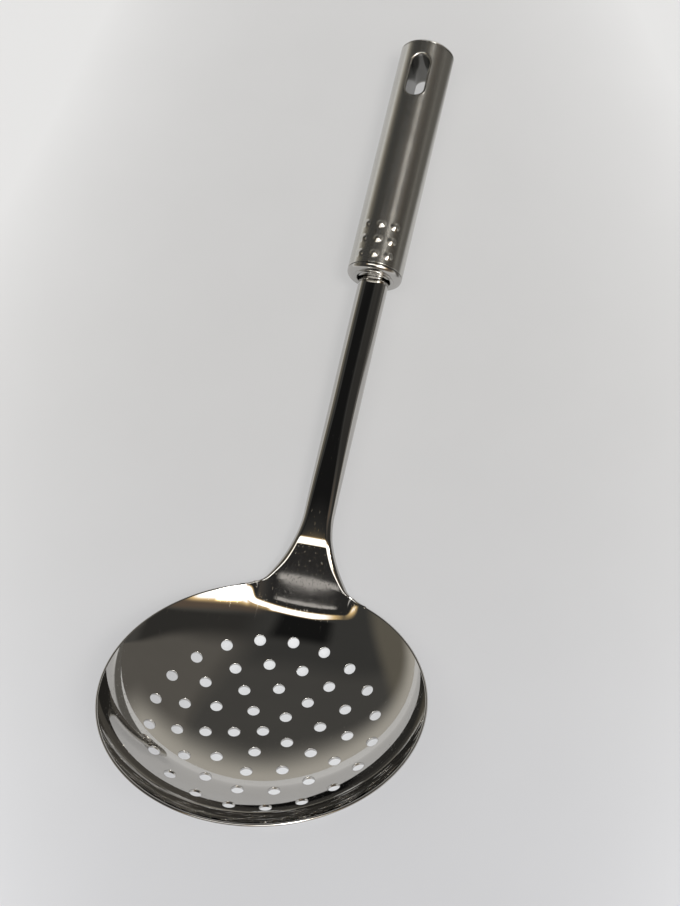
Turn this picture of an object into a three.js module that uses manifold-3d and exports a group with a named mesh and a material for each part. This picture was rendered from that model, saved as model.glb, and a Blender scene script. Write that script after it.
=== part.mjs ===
import * as THREE from "three";
import { mergeVertices } from "three/addons/utils/BufferGeometryUtils.js";
import Module from "manifold-3d";

const wasm = await Module();
wasm.setup();

// Perforated skimmer: one stamped sheet forms bowl, neck and channel shank, and a round tube is the handle.
// Lengths in mm, angles in degrees. The bowl frame has its rim in the plane z = 0 and the handle towards +X.

// Stamped sheet
const SHEET = 1;
const RIM_RADIUS = 55;
const BOWL_DEPTH = 17.65;
const BOWL_CURVE_MARGIN = 4.9;
const BOWL_CURVE_POWER = 2.6;

// Strainer holes
const HOLE_DIAMETER = 4.1;
const HOLE_RING_PITCH = 9.65;
const HOLES_PER_RING = [1, 5, 10, 15, 20];

// Neck pad that rises from the bowl wall
const PAD_START_MARGIN = 7.7;
const PAD_SLOPE = 52.2;
const PAD_CREASE = 0.5;
const PAD_FADE_INNER = 16;
const PAD_FADE_OUTER = 22.2;
const NECK_HALF_ANGLE = 25;
const NECK_SPREAD = 8.6;
const NECK_TAPER_LENGTH = 25;
const NECK_FLARE_LENGTH = 2.6;
const RIM_BLEND_LENGTH = 7;
const FLANGE_HEIGHT = 2;
const FLANGE_RADIUS = 1.8;
const FLANGE_FIRST_RADIUS = 0.4;
const FLANGE_RISE_LENGTH = 3;

// Centre line of the neck and shank
const PAD_LENGTH = 13;
const BEND_LENGTH = 3;
const BEND_END_SLOPE = 39.5;
const SWEEP_LENGTH = 80;
const SHANK_SLOPE = 31.5;
const SHANK_STRAIGHT_LENGTH = 21.1;
const TANG_LENGTH = 22;

// Channel section of the shank
const SHANK_WIDTH = 11.2;
const SHANK_HEIGHT = 4.6;
const SHANK_CORNER = 3.4;
const SHANK_CROWN = 0.7;
const SECTION_CHANGE_LENGTH = 60;

// Handle tube
const TUBE_RADIUS = 10.3;
const TUBE_WALL = 0.8;
const TUBE_LENGTH = 95.6;
const TUBE_SLOPE = 31.1;
const TUBE_AXIS_DROP = 2.6;

// Raised grip bumps
const BUMP_ROWS = 3;
const BUMP_COLUMNS = 3;
const BUMP_ROW_PITCH = 6.1;
const BUMP_COLUMN_ANGLE = 31;
const BUMP_FROM_FRONT = 4;
const BUMP_RADIUS = 1.7;
const BUMP_HEIGHT = 0.6;
const BUMP_ROOT_SHARE = 1.25;

// Hanging slot
const SLOT_LENGTH = 18.2;
const SLOT_WIDTH = 6.4;
const SLOT_CENTRE_FROM_REAR = 14.4;
const SLOT_ROLL_RADIUS = 2;
const EYELET_SINK = 0.2;

// Collar, rear cap and the plug that holds the tang
const COLLAR_THICKNESS = 2;
const COLLAR_ROUNDING = 2;
const COLLAR_SPIGOT = 4;
const OPENING_RADIUS = 6.3;
const LIP_WIDTH = 1.4;
const LIP_HEIGHT = 0.3;
const LIP_CHAMFER = 0.35;
const CAP_THICKNESS = 1.2;
const CAP_ROUNDING = 0.9;
const CAP_DOME = 0.22;
const CAP_FLAT_SHARE = 0.6;
const CAP_SPIGOT = 4;
const SPIGOT_WALL = 1.2;
const PLUG_LENGTH = 14;
const BOSS_ROUNDING = 0.8;
const SOCKET_SIDE_GAP = 0.5;
const GAP = 0.3;
const CUT_OVERRUN = 1;

// How finely the curves are divided
const BOWL_RINGS = 12;
const BOWL_COLUMNS = 42;
const NECK_COLUMNS = 18;
const PAD_ROWS = 8;
const BEND_ROWS = 3;
const SWEEP_ROWS = 6;
const STRAIGHT_ROWS = 1;
const HOLE_SIDES = 12;
const ROUND_SIDES = 36;
const EDGE_STEPS = 4;
const BUMP_SIDES = 10;
const BUMP_STEPS = 3;
const SLOT_SIDES = 8;
const ROLL_STEPS = 3;
const SOCKET_SIDES = 6;
const SEARCH_STEPS = 400;
const ROLL_ROUNDS = 8;
const TINY_SHARE = 1e-3;

const radians = (angle) => (angle * Math.PI) / 180;
const smooth = (from, to, x) => THREE.MathUtils.smoothstep(x, from, to);

// Mid-surface of the bowl: depth below the rim as a function of the radius
const HALF_SHEET = SHEET / 2;
const RIM_MID_RADIUS = RIM_RADIUS - HALF_SHEET * Math.sin(radians(PAD_SLOPE));
const RIM_MID_Z = -HALF_SHEET * Math.cos(radians(PAD_SLOPE));
const PAD_START = RIM_RADIUS - PAD_START_MARGIN;

function bowlCurve(radius) {
  return Math.sqrt(1 - (radius / (RIM_RADIUS + BOWL_CURVE_MARGIN)) ** BOWL_CURVE_POWER);
}

function bowlZ(radius) {
  const rim = bowlCurve(RIM_MID_RADIUS);
  return RIM_MID_Z - (BOWL_DEPTH * (bowlCurve(radius) - rim)) / (1 - rim);
}

// Height of the sheet inside the rim, with the pad blended into the wall on the handle side
function sheetZ(x, y) {
  const wall = bowlZ(Math.hypot(x, y));
  if (x <= 0) return wall;
  const side = Math.min(Math.abs(y), PAD_FADE_OUTER);
  const foot = bowlZ(Math.hypot(PAD_START, side));
  const pad = foot + Math.tan(radians(PAD_SLOPE)) * (x - PAD_START);
  const raised = (wall + pad + Math.hypot(wall - pad, PAD_CREASE)) / 2;
  const share = 1 - smooth(PAD_FADE_INNER, PAD_FADE_OUTER, Math.abs(y));
  return wall + share * (raised - wall);
}

function bowlPoint(radius, angle) {
  const x = radius * Math.cos(angle);
  const y = radius * Math.sin(angle);
  return new THREE.Vector3(x, y, sheetZ(x, y));
}

// Centre line of the neck and shank: straight pad, tight bend, long sweep, straight end
const STAGES = [
  { length: PAD_LENGTH, slope: PAD_SLOPE, rows: PAD_ROWS },
  { length: BEND_LENGTH, slope: BEND_END_SLOPE, rows: BEND_ROWS },
  { length: SWEEP_LENGTH, slope: SHANK_SLOPE, rows: SWEEP_ROWS },
  { length: SHANK_STRAIGHT_LENGTH + TANG_LENGTH, slope: SHANK_SLOPE, rows: STRAIGHT_ROWS },
];
const COLLAR_STATION = PAD_LENGTH + BEND_LENGTH + SWEEP_LENGTH + SHANK_STRAIGHT_LENGTH;

function centreLine(station) {
  const point = bowlPoint(RIM_MID_RADIUS, 0);
  let slope = radians(PAD_SLOPE);
  let left = station;
  for (const stage of STAGES) {
    const run = Math.min(left, stage.length);
    const bend = (radians(stage.slope) - slope) / stage.length;
    const middle = slope + (bend * run) / 2;
    const half = (bend * run) / 2;
    const chord = half === 0 ? run : (run * Math.sin(half)) / half;
    point.add(new THREE.Vector3(chord * Math.cos(middle), 0, chord * Math.sin(middle)));
    slope += bend * run;
    left -= run;
  }
  return {
    point,
    along: new THREE.Vector3(Math.cos(slope), 0, Math.sin(slope)),
    up: new THREE.Vector3(-Math.sin(slope), 0, Math.cos(slope)),
  };
}

// Section of the neck and shank: flat top, rounded corner and straight leg
const RIM_FRAME = centreLine(0);
const RIM_HALF_WIDTH = RIM_MID_RADIUS * Math.sin(radians(NECK_HALF_ANGLE));

function rimOffset(share) {
  const offset = bowlPoint(RIM_MID_RADIUS, radians(NECK_HALF_ANGLE) * share).sub(RIM_FRAME.point);
  return { along: offset.dot(RIM_FRAME.along), up: offset.dot(RIM_FRAME.up), side: offset.y };
}

function taperedHalfWidth(station) {
  const rimShare = 1 - smooth(0, RIM_BLEND_LENGTH, station);
  const edge = station + rimShare * rimOffset(1).along;
  const taper = Math.max(1 - edge / NECK_TAPER_LENGTH, 0);
  return SHANK_WIDTH / 2 - HALF_SHEET + NECK_SPREAD * taper ** 2;
}

function halfWidth(station) {
  const flare = Math.max(1 - station / NECK_FLARE_LENGTH, 0);
  const spare = RIM_HALF_WIDTH - taperedHalfWidth(0);
  return taperedHalfWidth(station) + spare * flare ** 2;
}

function sectionOf(station) {
  const change = smooth(PAD_LENGTH, PAD_LENGTH + SECTION_CHANGE_LENGTH, station);
  const rise = smooth(0, FLANGE_RISE_LENGTH, station);
  const neckHeight = FLANGE_HEIGHT * rise;
  const neckCorner = THREE.MathUtils.lerp(FLANGE_FIRST_RADIUS, FLANGE_RADIUS, rise);
  return {
    width: halfWidth(station),
    height: THREE.MathUtils.lerp(neckHeight, SHANK_HEIGHT, change),
    corner: THREE.MathUtils.lerp(neckCorner, SHANK_CORNER, change),
    crown: SHANK_CROWN * change,
  };
}

function neckPoint(station, share) {
  const frame = centreLine(station);
  const { width, height, corner, crown } = sectionOf(station);
  const drop = Math.min(height, corner);
  const flatLength = width - corner;
  const arcLength = (Math.PI / 2) * Math.sqrt((corner ** 2 + drop ** 2) / 2);
  const run = Math.abs(share) * (flatLength + arcLength + height - drop);
  const turn = THREE.MathUtils.clamp((run - flatLength) / arcLength, 0, 1) * (Math.PI / 2);
  const leg = Math.max(run - flatLength - arcLength, 0);
  const side = Math.min(run, flatLength) + corner * Math.sin(turn);
  const down = drop * (1 - Math.cos(turn)) + leg + crown * (side / width) ** 2;
  const rim = rimOffset(Math.abs(share));
  const rimShare = 1 - smooth(0, RIM_BLEND_LENGTH, station);
  const y = side + rimShare * (rim.side - RIM_HALF_WIDTH * Math.abs(share)) * (width / RIM_HALF_WIDTH);
  return frame.point
    .clone()
    .addScaledVector(frame.along, rimShare * rim.along)
    .addScaledVector(frame.up, rimShare * rim.up - down)
    .add(new THREE.Vector3(0, Math.sign(share) * y, 0));
}

// Unit normal of a surface given by two parameters, pointing to the inside of the bowl
function normalOf(surface, u, v, du, dv) {
  const along = surface(u + du, v).sub(surface(u - du, v));
  const across = surface(u, v + dv).sub(surface(u, v - dv));
  return along.cross(across).normalize();
}

// Rows of mid-surface points with their normals
function bowlRow(radius) {
  const angles = columnAngles();
  return angles.map((angle) => ({
    point: bowlPoint(radius, angle),
    normal: normalOf(bowlPoint, radius, angle, radius * TINY_SHARE, TINY_SHARE),
  }));
}

function columnAngles() {
  const half = radians(NECK_HALF_ANGLE);
  const neck = [];
  for (let i = 0; i <= NECK_COLUMNS; i++) neck.push(-half + (2 * half * i) / NECK_COLUMNS);
  const rest = [];
  const step = (2 * Math.PI - 2 * half) / BOWL_COLUMNS;
  for (let i = 1; i < BOWL_COLUMNS; i++) rest.push(half + step * i);
  return [...neck, ...rest];
}

function neckRow(station) {
  const row = [];
  for (let i = 0; i <= NECK_COLUMNS; i++) {
    const share = -1 + (2 * i) / NECK_COLUMNS;
    const inner = THREE.MathUtils.clamp(share, TINY_SHARE - 1, 1 - TINY_SHARE);
    const step = PAD_LENGTH * TINY_SHARE;
    row.push({
      point: neckPoint(station, share),
      normal: normalOf(neckPoint, Math.max(station, step), inner, step, TINY_SHARE),
    });
  }
  return row;
}

function neckStations() {
  const stations = [];
  let start = 0;
  for (const { length, rows } of STAGES) {
    for (let i = 1; i <= rows; i++) stations.push(start + (length * i) / rows);
    start += length;
  }
  return stations;
}

// Closed solid of a sheet: rows of points offset to both sides, joined along the free edges
function stampingGeometry() {
  const rows = [];
  for (let i = 1; i <= BOWL_RINGS; i++) {
    rows.push(bowlRow(RIM_MID_RADIUS * Math.sin((Math.PI / 2) * (i / BOWL_RINGS))));
  }
  const bowlRows = rows.length;
  for (const station of neckStations()) rows.push(neckRow(station));

  const positions = [];
  const index = [];
  const ids = rows.map((row) =>
    row.map(({ point, normal }) => {
      const inside = point.clone().addScaledVector(normal, HALF_SHEET);
      const outside = point.clone().addScaledVector(normal, -HALF_SHEET);
      positions.push(...inside.toArray(), ...outside.toArray());
      return positions.length / 3 - 2;
    }),
  );
  const pole = positions.length / 3;
  const bottom = sheetZ(0, 0);
  positions.push(0, 0, bottom + HALF_SHEET, 0, 0, bottom - HALF_SHEET);

  const face = (a, b, c) => {
    index.push(a, b, c);
    index.push(a + 1, c + 1, b + 1);
  };
  const wall = (a, b) => index.push(a, a + 1, b, b, a + 1, b + 1);
  const count = ids[0].length;
  for (let j = 0; j < count; j++) face(pole, ids[0][j], ids[0][(j + 1) % count]);
  for (let i = 0; i + 1 < bowlRows; i++) {
    for (let j = 0; j < count; j++) {
      const k = (j + 1) % count;
      face(ids[i][j], ids[i + 1][j], ids[i + 1][k]);
      face(ids[i][j], ids[i + 1][k], ids[i][k]);
    }
  }
  for (let i = bowlRows - 1; i + 1 < rows.length; i++) {
    for (let j = 0; j < NECK_COLUMNS; j++) {
      face(ids[i][j], ids[i + 1][j], ids[i + 1][j + 1]);
      face(ids[i][j], ids[i + 1][j + 1], ids[i][j + 1]);
    }
  }
  const rim = ids[bowlRows - 1];
  for (let j = NECK_COLUMNS; j < count; j++) wall(rim[j], rim[(j + 1) % count]);
  for (let i = bowlRows - 1; i + 1 < rows.length; i++) {
    wall(ids[i + 1][NECK_COLUMNS], ids[i][NECK_COLUMNS]);
    wall(ids[i][0], ids[i + 1][0]);
  }
  const last = ids[rows.length - 1];
  for (let j = 0; j < NECK_COLUMNS; j++) wall(last[j], last[j + 1]);

  const geometry = new THREE.BufferGeometry();
  geometry.setAttribute("position", new THREE.BufferAttribute(new Float32Array(positions), 3));
  geometry.setIndex(index);
  return geometry;
}

// Solids and meshes
function solid(geometry) {
  const plain = new THREE.BufferGeometry();
  plain.setAttribute("position", geometry.getAttribute("position"));
  if (geometry.index) plain.setIndex(geometry.index);
  const merged = mergeVertices(plain, SHEET * TINY_SHARE);
  return new wasm.Manifold(
    new wasm.Mesh({
      numProp: 3,
      vertProperties: merged.getAttribute("position").array,
      triVerts: new Uint32Array(merged.index.array),
    }),
  );
}

function meshOf(made, name, material) {
  const data = made.getMesh();
  const positions = new Float32Array(data.numVert * 3);
  for (let i = 0; i < data.numVert; i++) {
    const at = i * data.numProp;
    positions.set(data.vertProperties.subarray(at, at + 3), i * 3);
  }
  const geometry = new THREE.BufferGeometry();
  geometry.setAttribute("position", new THREE.BufferAttribute(positions, 3));
  geometry.setIndex(new THREE.BufferAttribute(new Uint32Array(data.triVerts), 1));
  geometry.computeVertexNormals();
  const mesh = new THREE.Mesh(geometry, material);
  mesh.name = name;
  return mesh;
}

// Turned body about the handle axis: profile points are [radius, distance along the axis]
function turned(profile) {
  const points = profile.map(([radius, along]) => new THREE.Vector2(radius, along));
  const geometry = new THREE.LatheGeometry(points, ROUND_SIDES);
  return solid(geometry.applyMatrix4(LATHE_TO_AXIS));
}

// The lathe turns about its own y axis, and the handle runs along +X
const LATHE_TO_AXIS = new THREE.Matrix4().makeBasis(
  new THREE.Vector3(0, 1, 0),
  new THREE.Vector3(1, 0, 0),
  new THREE.Vector3(0, 0, -1),
);

function quarterArc(radius, along, size, from, to) {
  const points = [];
  for (let i = 0; i <= EDGE_STEPS; i++) {
    const turn = radians(from + ((to - from) * i) / EDGE_STEPS);
    points.push([radius + size * Math.cos(turn), along + size * Math.sin(turn)]);
  }
  return points;
}

// Strainer holes, spaced evenly along the curve of the sheet and square to it
function radiusAtArc(arc) {
  const step = RIM_RADIUS / SEARCH_STEPS;
  let radius = 0;
  for (let done = 0; done < arc; done += step) {
    const rise = (bowlZ(radius + step) - bowlZ(radius)) / step;
    radius += step / Math.hypot(1, rise);
  }
  return radius;
}

function holeCutters() {
  const cutters = [];
  HOLES_PER_RING.forEach((holes, ring) => {
    const radius = ring === 0 ? 0 : radiusAtArc(ring * HOLE_RING_PITCH);
    for (let i = 0; i < holes; i++) {
      const angle = Math.PI + (2 * Math.PI * i) / holes;
      const near = Math.max(radius, SHEET * TINY_SHARE);
      const normal = normalOf(bowlPoint, near, angle, near * TINY_SHARE, TINY_SHARE);
      const geometry = new THREE.CylinderGeometry(
        HOLE_DIAMETER / 2,
        HOLE_DIAMETER / 2,
        SHEET + 2 * CUT_OVERRUN,
        HOLE_SIDES,
      );
      const turn = new THREE.Quaternion().setFromUnitVectors(new THREE.Vector3(0, 1, 0), normal);
      geometry.applyQuaternion(turn);
      const centre = bowlPoint(radius, angle);
      geometry.translate(centre.x, centre.y, centre.z);
      cutters.push(solid(geometry));
    }
  });
  return cutters;
}

function bowlAndShank() {
  let made = solid(stampingGeometry());
  for (const cutter of holeCutters()) made = made.subtract(cutter);
  return made;
}

// Handle tube with raised bumps and a hanging slot whose walls roll inwards
const TUBE_INNER = TUBE_RADIUS - TUBE_WALL;

function slotOutline(spread) {
  const half = SLOT_WIDTH / 2 + spread;
  const straight = (SLOT_LENGTH - SLOT_WIDTH) / 2;
  const points = [];
  for (const end of [1, -1]) {
    for (let i = 0; i <= SLOT_SIDES; i++) {
      const turn = (-end * Math.PI) / 2 + (Math.PI * i) / SLOT_SIDES;
      const direction = new THREE.Vector2(Math.cos(turn), Math.sin(turn));
      points.push({ x: end * straight + half * direction.x, y: half * direction.y, direction });
    }
  }
  return points;
}

// One column of the slot's wall: straight in the middle, rolled over to the tube surface at both ends
function slotColumn(point, radius, roll) {
  let slope = 0;
  for (let i = 0; i < ROLL_ROUNDS; i++) {
    const y = point.y + point.direction.y * roll * (1 + Math.sin(slope));
    slope = Math.atan((point.direction.y * y) / Math.sqrt(radius ** 2 - y ** 2));
  }
  const y = point.y + point.direction.y * roll * (1 + Math.sin(slope));
  const centre = Math.sqrt(radius ** 2 - y ** 2) - roll * Math.cos(slope);
  const column = [];
  for (let i = 0; i <= ROLL_STEPS; i++) {
    const turn = ((Math.PI / 2 + slope) * i) / ROLL_STEPS;
    const out = roll * (1 - Math.cos(turn));
    const height = centre + roll * Math.sin(turn);
    column.push([point.x + point.direction.x * out, point.y + point.direction.y * out, height]);
  }
  const [x, topY] = column[ROLL_STEPS];
  column.push([x, topY, TUBE_RADIUS + CUT_OVERRUN]);
  return column;
}

function slotBody(spread, radius, roll) {
  const columns = slotOutline(spread).map((point) => {
    const half = slotColumn(point, radius, roll);
    const mirrored = half.map(([x, y, z]) => [x, y, -z]).reverse();
    return [...mirrored, ...half];
  });
  const levels = columns[0].length;
  const positions = columns.flat(2);
  const index = [];
  columns.forEach((column, i) => {
    const a = i * levels;
    const b = ((i + 1) % columns.length) * levels;
    for (let k = 0; k + 1 < levels; k++) {
      index.push(a + k, b + k, b + k + 1);
      index.push(a + k, b + k + 1, a + k + 1);
    }
  });
  const bottom = positions.length / 3;
  positions.push(0, 0, columns[0][0][2], 0, 0, columns[0][levels - 1][2]);
  columns.forEach((column, i) => {
    const a = i * levels;
    const b = ((i + 1) % columns.length) * levels;
    index.push(bottom, b, a);
    index.push(bottom + 1, a + levels - 1, b + levels - 1);
  });
  const geometry = new THREE.BufferGeometry();
  geometry.setAttribute("position", new THREE.BufferAttribute(new Float32Array(positions), 3));
  geometry.setIndex(index);
  return geometry;
}

function bumps() {
  const sphere = (BUMP_RADIUS ** 2 + BUMP_HEIGHT ** 2) / (2 * BUMP_HEIGHT);
  const open = Math.asin(BUMP_RADIUS / sphere) * BUMP_ROOT_SHARE;
  const rise = BUMP_HEIGHT - sphere;
  const made = [];
  for (let row = 0; row < BUMP_ROWS; row++) {
    for (let column = 0; column < BUMP_COLUMNS; column++) {
      const angle = radians(BUMP_COLUMN_ANGLE * (column - (BUMP_COLUMNS - 1) / 2));
      const profile = [new THREE.Vector2(0, sphere * Math.cos(open) + rise)];
      for (let i = BUMP_STEPS; i >= 0; i--) {
        const turn = (open * i) / BUMP_STEPS;
        profile.push(new THREE.Vector2(sphere * Math.sin(turn), sphere * Math.cos(turn) + rise));
      }
      const geometry = new THREE.LatheGeometry(profile, BUMP_SIDES);
      geometry.rotateX(Math.PI / 2);
      geometry.translate(BUMP_FROM_FRONT + row * BUMP_ROW_PITCH, 0, TUBE_RADIUS);
      geometry.rotateX(angle);
      made.push(solid(geometry));
    }
  }
  return made;
}

function handleTube() {
  const front = GAP;
  const rear = TUBE_LENGTH;
  let made = turned([
    [TUBE_INNER, front],
    [TUBE_RADIUS, front],
    [TUBE_RADIUS, rear],
    [TUBE_INNER, rear],
    [TUBE_INNER, front],
  ]);
  const centre = TUBE_LENGTH - SLOT_CENTRE_FROM_REAR;
  const outer = turned([
    [0, front + TUBE_WALL],
    [TUBE_RADIUS - EYELET_SINK, front + TUBE_WALL],
    [TUBE_RADIUS - EYELET_SINK, rear - TUBE_WALL],
    [0, rear - TUBE_WALL],
  ]);
  const inner = SLOT_ROLL_RADIUS - TUBE_WALL;
  const eyelet = solid(slotBody(TUBE_WALL, TUBE_INNER, inner).translate(centre, 0, 0));
  const cutter = solid(slotBody(0, TUBE_RADIUS, SLOT_ROLL_RADIUS).translate(centre, 0, 0));
  made = made.add(eyelet.intersect(outer)).subtract(cutter);
  for (const bump of bumps()) made = made.add(bump);
  return made;
}

// Collar ring that closes the tube's front
function frontCollar() {
  const face = -COLLAR_THICKNESS;
  const shoulder = TUBE_RADIUS - COLLAR_ROUNDING;
  const spigot = TUBE_INNER - GAP;
  const lip = OPENING_RADIUS + LIP_WIDTH;
  return turned([
    [OPENING_RADIUS, face - LIP_HEIGHT / 2],
    [OPENING_RADIUS + LIP_CHAMFER, face - LIP_HEIGHT],
    [lip - LIP_CHAMFER, face - LIP_HEIGHT],
    [lip, face],
    ...quarterArc(shoulder, face + COLLAR_ROUNDING, COLLAR_ROUNDING, -90, 0),
    [TUBE_RADIUS, 0],
    [spigot, 0],
    [spigot, COLLAR_SPIGOT],
    [spigot - SPIGOT_WALL, COLLAR_SPIGOT],
    [spigot - SPIGOT_WALL, 0],
    [OPENING_RADIUS, 0],
    [OPENING_RADIUS, face - LIP_HEIGHT / 2],
  ]);
}

// Domed cap that closes the tube's rear
function rearCap() {
  const start = TUBE_LENGTH + GAP;
  const edge = start + CAP_THICKNESS;
  const spigot = TUBE_INNER - GAP;
  const flat = TUBE_RADIUS - CAP_ROUNDING;
  const profile = [
    [spigot - SPIGOT_WALL, start],
    [spigot - SPIGOT_WALL, start - CAP_SPIGOT],
    [spigot, start - CAP_SPIGOT],
    [spigot, start],
    [TUBE_RADIUS, start],
    ...quarterArc(flat, edge - CAP_ROUNDING, CAP_ROUNDING, 0, 90),
    [flat * CAP_FLAT_SHARE, edge + CAP_DOME],
    [0, edge + CAP_DOME],
  ];
  return turned([[0, start], ...profile]);
}

// Plug inside the tube's front, with a boss that fills the collar's opening round the shank
function tangSocket(toTube) {
  const frame = centreLine(COLLAR_STATION);
  const top = HALF_SHEET + GAP;
  const side = SHANK_WIDTH / 2 + SOCKET_SIDE_GAP;
  const corner = SHANK_CORNER + top;
  const bottom = -SHANK_HEIGHT - SHANK_CROWN - top;
  const shape = new THREE.Shape();
  shape.moveTo(-side, bottom);
  shape.lineTo(side, bottom);
  shape.absarc(side - corner, top - corner, corner, 0, Math.PI / 2, false);
  shape.absarc(corner - side, top - corner, corner, Math.PI / 2, Math.PI, false);
  const before = COLLAR_THICKNESS + CUT_OVERRUN;
  const depth = before + PLUG_LENGTH + COLLAR_THICKNESS + CUT_OVERRUN;
  const options = { depth, bevelEnabled: false, curveSegments: SOCKET_SIDES };
  const geometry = new THREE.ExtrudeGeometry(shape, options);
  geometry.translate(0, 0, -before);
  const across = new THREE.Vector3(0, 1, 0);
  const placement = new THREE.Matrix4().makeBasis(across, frame.up, frame.along);
  geometry.applyMatrix4(placement.setPosition(frame.point));
  return solid(geometry.applyMatrix4(toTube));
}

function tangPlug(toTube) {
  const boss = OPENING_RADIUS - GAP;
  const body = TUBE_INNER - SPIGOT_WALL - 2 * GAP;
  const front = -COLLAR_THICKNESS;
  const back = PLUG_LENGTH;
  const made = turned([
    [0, front],
    [boss - BOSS_ROUNDING, front],
    ...quarterArc(boss - BOSS_ROUNDING, front + BOSS_ROUNDING, BOSS_ROUNDING, -90, 0).slice(1),
    [boss, GAP],
    [body, GAP],
    [body, back],
    [0, back],
  ]);
  return made.subtract(tangSocket(toTube));
}

// Materials
const steel = (color, roughness) => new THREE.MeshStandardMaterial({ color, roughness, metalness: 1 });
const MATERIALS = {
  bowl_and_shank: steel(0xc9cacb, 0.08),
  handle_tube: steel(0xb4b4b0, 0.28),
  front_collar: steel(0xc2c2c0, 0.15),
  rear_cap: steel(0xb4b4b0, 0.28),
  tang_plug: steel(0xb9b9b8, 0.2),
};

// Frame of the handle tube in the bowl frame
function handleMatrix() {
  const frame = centreLine(COLLAR_STATION);
  const slope = radians(TUBE_SLOPE);
  const along = new THREE.Vector3(Math.cos(slope), 0, Math.sin(slope));
  const origin = frame.point
    .clone()
    .addScaledVector(frame.up, -TUBE_AXIS_DROP)
    .addScaledVector(along, COLLAR_THICKNESS);
  const up = new THREE.Vector3(-Math.sin(slope), 0, Math.cos(slope));
  return new THREE.Matrix4().makeBasis(along, new THREE.Vector3(0, 1, 0), up).setPosition(origin);
}

// Resting angle: the line that touches the bowl's underside and the tube's rear end
function restAngle(matrix) {
  const corner = new THREE.Vector3(TUBE_LENGTH + GAP + CAP_THICKNESS - CAP_ROUNDING, 0, -TUBE_RADIUS);
  corner.applyMatrix4(matrix);
  let steepest = 0;
  for (let i = 1; i < SEARCH_STEPS; i++) {
    const radius = (PAD_START * i) / SEARCH_STEPS;
    const normal = normalOf(bowlPoint, radius, 0, radius * TINY_SHARE, TINY_SHARE);
    const point = bowlPoint(radius, 0).addScaledVector(normal, -HALF_SHEET);
    steepest = Math.max(steepest, Math.atan2(corner.z - point.z, corner.x - point.x));
  }
  return steepest;
}

function build() {
  const matrix = handleMatrix();
  const toTube = matrix.clone().invert();
  const stamping = bowlAndShank();
  const group = new THREE.Group();
  const put = (made, name, placement) => {
    const mesh = meshOf(made, name, MATERIALS[name]);
    if (placement) mesh.applyMatrix4(placement);
    group.add(mesh);
  };
  put(stamping, "bowl_and_shank");
  put(handleTube(), "handle_tube", matrix);
  put(frontCollar(), "front_collar", matrix);
  put(rearCap(), "rear_cap", matrix);
  put(tangPlug(toTube), "tang_plug", matrix);

  group.rotation.y = restAngle(matrix);
  group.updateMatrixWorld(true);
  const box = new THREE.Box3().setFromObject(group, true);
  const centre = box.getCenter(new THREE.Vector3());
  group.position.set(-centre.x, -centre.y, -box.min.z);
  const root = new THREE.Group();
  root.add(group);
  return root;
}

export default build();
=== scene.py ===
"""Skimmer with a perforated steel bowl: its fine surfaces, finishes, stage and camera."""

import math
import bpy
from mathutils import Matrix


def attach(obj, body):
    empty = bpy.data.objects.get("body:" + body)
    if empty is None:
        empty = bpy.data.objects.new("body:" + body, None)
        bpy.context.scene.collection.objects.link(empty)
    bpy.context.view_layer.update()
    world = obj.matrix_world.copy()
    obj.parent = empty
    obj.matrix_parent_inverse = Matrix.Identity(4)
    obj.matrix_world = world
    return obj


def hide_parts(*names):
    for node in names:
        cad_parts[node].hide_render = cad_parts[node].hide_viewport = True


bl_info = {
    "name": "Perforated skimmer",
    "version": (1, 0, 0),
    "blender": (4, 5, 0),
    "location": "View3D > Sidebar > Skimmer",
    "description": "Builds the fine surfaces and finishes of a perforated steel skimmer on its packed frame",
    "category": "Object",
}

from types import SimpleNamespace

import bpy
from bpy.props import FloatProperty, FloatVectorProperty, IntProperty, IntVectorProperty, PointerProperty
from mathutils import Euler, Matrix, Vector
from mathutils.geometry import delaunay_2d_cdt

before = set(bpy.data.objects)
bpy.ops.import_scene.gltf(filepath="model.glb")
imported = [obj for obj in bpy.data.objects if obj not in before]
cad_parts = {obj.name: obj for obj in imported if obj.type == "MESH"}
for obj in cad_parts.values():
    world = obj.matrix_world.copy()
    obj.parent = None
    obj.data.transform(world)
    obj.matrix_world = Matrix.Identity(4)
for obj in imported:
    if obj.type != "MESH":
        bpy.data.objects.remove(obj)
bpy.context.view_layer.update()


# Sizes and finishes that a user would change

def length(name, description, default):
    return FloatProperty(name=name, description=description, default=default, unit="LENGTH", precision=5)


def turn(name, description, degrees):
    default = math.radians(degrees)
    return FloatProperty(name=name, description=description, default=default, subtype="ANGLE", unit="ROTATION")


def colour(name, description, default):
    return FloatVectorProperty(name=name, description=description, default=default, subtype="COLOR", size=3, min=0, max=1)


def share(name, description, default):
    return FloatProperty(name=name, description=description, default=default, subtype="FACTOR", min=0, max=1)


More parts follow.
